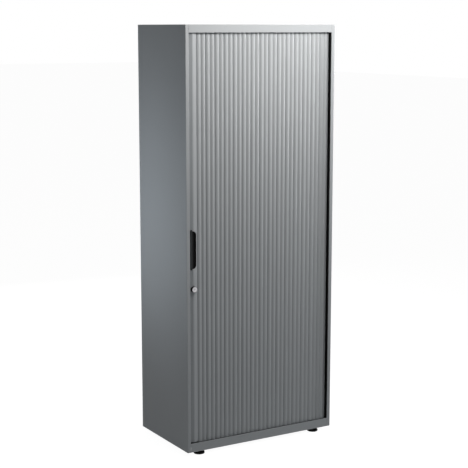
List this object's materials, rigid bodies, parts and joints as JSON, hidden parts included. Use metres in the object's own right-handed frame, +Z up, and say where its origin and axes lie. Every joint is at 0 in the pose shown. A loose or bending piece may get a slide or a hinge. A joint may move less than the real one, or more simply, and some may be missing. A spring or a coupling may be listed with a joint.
{
  "type": "tambour door cabinet",
  "caption": "Tall steel cupboard with shelves and a ribbed vertical curtain door that slides sideways, with a flush handle, a lock and levelling feet.",
  "frame": {"origin": "on the floor, under the middle of the body", "axes": "+Z up, the front faces -Y, +X to the right seen from the front"},
  "size_m": [0.8, 0.466, 1.981],
  "materials": {
    "silver_paint": "silver metallic powder coat, satin",
    "slat_silver": "silver metallic plastic, satin",
    "shelf_paint": "silver metallic powder coat, satin",
    "black_plastic": "black moulded plastic, satin",
    "grip_plastic": "dark grey moulded plastic, satin",
    "rubber": "black rubber, matt",
    "zinc": "zinc plated steel",
    "lock_metal": "nickel plated, satin"
  },
  "bodies": {
    "carcass": {"side_panel_left": "silver_paint", "side_panel_right": "silver_paint", "top_panel": "silver_paint", "base_panel": "silver_paint", "back_panel": "silver_paint", "liner_side": "silver_paint", "liner_back": "silver_paint", "track_top": "black_plastic", "track_bottom": "black_plastic", "edge_strip": "black_plastic", "closing_buffer": "rubber", "lock_keep": "zinc", "upright_front_left": "zinc", "upright_rear_left": "zinc", "upright_front_right": "zinc", "upright_rear_right": "zinc", "shelf_1": "shelf_paint", "shelf_2": "shelf_paint", "shelf_3": "shelf_paint", "shelf_4": "shelf_paint", "bracket_1_left": "zinc", "bracket_1_right": "zinc", "bracket_2_left": "zinc", "bracket_2_right": "zinc", "bracket_3_left": "zinc", "bracket_3_right": "zinc", "bracket_4_left": "zinc", "bracket_4_right": "zinc", "foot_bush_front_left": "zinc", "foot_bush_rear_left": "zinc", "foot_bush_front_right": "zinc", "foot_bush_rear_right": "zinc"},
    "door_lead": {"lead_rail": "silver_paint", "handle_cup": "grip_plastic", "lock_housing": "black_plastic", "lock_nut": "zinc", "glide_top": "black_plastic", "glide_bottom": "black_plastic"},
    "lock_plug": {"lock_cylinder": "lock_metal", "lock_cam": "zinc"},
    "slat_01": {"slat_01": "slat_silver"},
    "slat_02": {"slat_02": "slat_silver"},
    "slat_03": {"slat_03": "slat_silver"},
    "slat_04": {"slat_04": "slat_silver"},
    "slat_05": {"slat_05": "slat_silver"},
    "slat_06": {"slat_06": "slat_silver"},
    "slat_07": {"slat_07": "slat_silver"},
    "slat_08": {"slat_08": "slat_silver"},
    "slat_09": {"slat_09": "slat_silver"},
    "slat_10": {"slat_10": "slat_silver"},
    "slat_11": {"slat_11": "slat_silver"},
    "slat_12": {"slat_12": "slat_silver"},
    "slat_13": {"slat_13": "slat_silver"},
    "slat_14": {"slat_14": "slat_silver"},
    "slat_15": {"slat_15": "slat_silver"},
    "slat_16": {"slat_16": "slat_silver"},
    "foot_front_left": {"foot_front_left": "black_plastic"},
    "foot_rear_left": {"foot_rear_left": "black_plastic"},
    "foot_front_right": {"foot_front_right": "black_plastic"},
    "foot_rear_right": {"foot_rear_right": "black_plastic"}
  },
  "joints": [
    {"name": "door_slide", "type": "slide", "parent": "carcass", "child": "door_lead", "axis": [1, 0, 0], "range_m": [0, 0.6849], "deforming": ["slat_01", "slat_02", "slat_03", "slat_04", "slat_05", "slat_06", "slat_07", "slat_08", "slat_09", "slat_10", "slat_11", "slat_12", "slat_13", "slat_14", "slat_15", "slat_16"]},
    {"name": "lock_turn", "type": "hinge", "parent": "door_lead", "child": "lock_plug", "pos_m": [-0.3585, -0.2234, 0.7912], "axis": [0, -1, 0], "range_deg": [0, 90]},
    {"name": "slat_01_travel", "type": "slide", "parent": "carcass", "child": "slat_01", "axis": [1, 0, 0], "range_m": [0, 0.68512]},
    {"name": "slat_02_travel", "type": "slide", "parent": "carcass", "child": "slat_02", "axis": [1, 0.0041, 0], "range_m": [0, 0.63774]},
    {"name": "slat_03_travel", "type": "slide", "parent": "carcass", "child": "slat_03", "axis": [1, 0.0088, 0], "range_m": [0, 0.59038]},
    {"name": "slat_04_travel", "type": "slide", "parent": "carcass", "child": "slat_04", "axis": [0.9999, 0.0144, 0], "range_m": [0, 0.54303]},
    {"name": "slat_05_travel", "type": "slide", "parent": "carcass", "child": "slat_05", "axis": [0.9998, 0.021, 0], "range_m": [0, 0.49571]},
    {"name": "slat_06_travel", "type": "slide", "parent": "carcass", "child": "slat_06", "axis": [0.9996, 0.029, 0], "range_m": [0, 0.4484]},
    {"name": "slat_07_travel", "type": "slide", "parent": "carcass", "child": "slat_07", "axis": [0.9992, 0.0389, 0], "range_m": [0, 0.40114]},
    {"name": "slat_08_travel", "type": "slide", "parent": "carcass", "child": "slat_08", "axis": [0.9987, 0.0515, 0], "range_m": [0, 0.35392]},
    {"name": "slat_09_travel", "type": "slide", "parent": "carcass", "child": "slat_09", "axis": [0.9977, 0.0678, 0], "range_m": [0, 0.30678]},
    {"name": "slat_10_travel", "type": "slide", "parent": "carcass", "child": "slat_10", "axis": [0.9959, 0.0902, 0], "range_m": [0, 0.25975]},
    {"name": "slat_11_travel", "type": "slide", "parent": "carcass", "child": "slat_11", "axis": [0.9925, 0.1222, 0], "range_m": [0, 0.21291]},
    {"name": "slat_12_travel", "type": "slide", "parent": "carcass", "child": "slat_12", "axis": [0.9851, 0.1721, 0], "range_m": [0, 0.16641]},
    {"name": "slat_13_travel", "type": "slide", "parent": "carcass", "child": "slat_13", "axis": [0.9659, 0.259, 0], "range_m": [0, 0.12066]},
    {"name": "slat_14_travel", "type": "slide", "parent": "carcass", "child": "slat_14", "axis": [0.898, 0.4401, 0], "range_m": [0, 0.07701]},
    {"name": "slat_15_travel", "type": "slide", "parent": "carcass", "child": "slat_15", "axis": [0.5102, 0.8601, 0], "range_m": [0, 0.04252]},
    {"name": "slat_16_travel", "type": "slide", "parent": "carcass", "child": "slat_16", "axis": [-0.0538, 0.9986, 0], "range_m": [0, 0.03926]},
    {"name": "foot_front_left_turn", "type": "hinge", "parent": "carcass", "child": "foot_front_left", "pos_m": [-0.321, -0.197, 0], "axis": [0, 0, 1], "continuous": true},
    {"name": "foot_rear_left_turn", "type": "hinge", "parent": "carcass", "child": "foot_rear_left", "pos_m": [-0.321, 0.197, 0], "axis": [0, 0, 1], "continuous": true},
    {"name": "foot_front_right_turn", "type": "hinge", "parent": "carcass", "child": "foot_front_right", "pos_m": [0.321, -0.197, 0], "axis": [0, 0, 1], "continuous": true},
    {"name": "foot_rear_right_turn", "type": "hinge", "parent": "carcass", "child": "foot_rear_right", "pos_m": [0.321, 0.197, 0], "axis": [0, 0, 1], "continuous": true}
  ],
  "couplings": [
    {"joint": "slat_01_travel", "follows": "door_slide", "ratio": 1},
    {"joint": "slat_02_travel", "follows": "door_slide", "ratio": 0.93086},
    {"joint": "slat_03_travel", "follows": "door_slide", "ratio": 0.8617},
    {"joint": "slat_04_travel", "follows": "door_slide", "ratio": 0.79257},
    {"joint": "slat_05_travel", "follows": "door_slide", "ratio": 0.72347},
    {"joint": "slat_06_travel", "follows": "door_slide", "ratio": 0.65441},
    {"joint": "slat_07_travel", "follows": "door_slide", "ratio": 0.5854},
    {"joint": "slat_08_travel", "follows": "door_slide", "ratio": 0.51646},
    {"joint": "slat_09_travel", "follows": "door_slide", "ratio": 0.44763},
    {"joint": "slat_10_travel", "follows": "door_slide", "ratio": 0.37896},
    {"joint": "slat_11_travel", "follows": "door_slide", "ratio": 0.31057},
    {"joint": "slat_12_travel", "follows": "door_slide", "ratio": 0.24268},
    {"joint": "slat_13_travel", "follows": "door_slide", "ratio": 0.17588},
    {"joint": "slat_14_travel", "follows": "door_slide", "ratio": 0.11214},
    {"joint": "slat_15_travel", "follows": "door_slide", "ratio": 0.061792},
    {"joint": "slat_16_travel", "follows": "door_slide", "ratio": 0.057025}
  ]
}
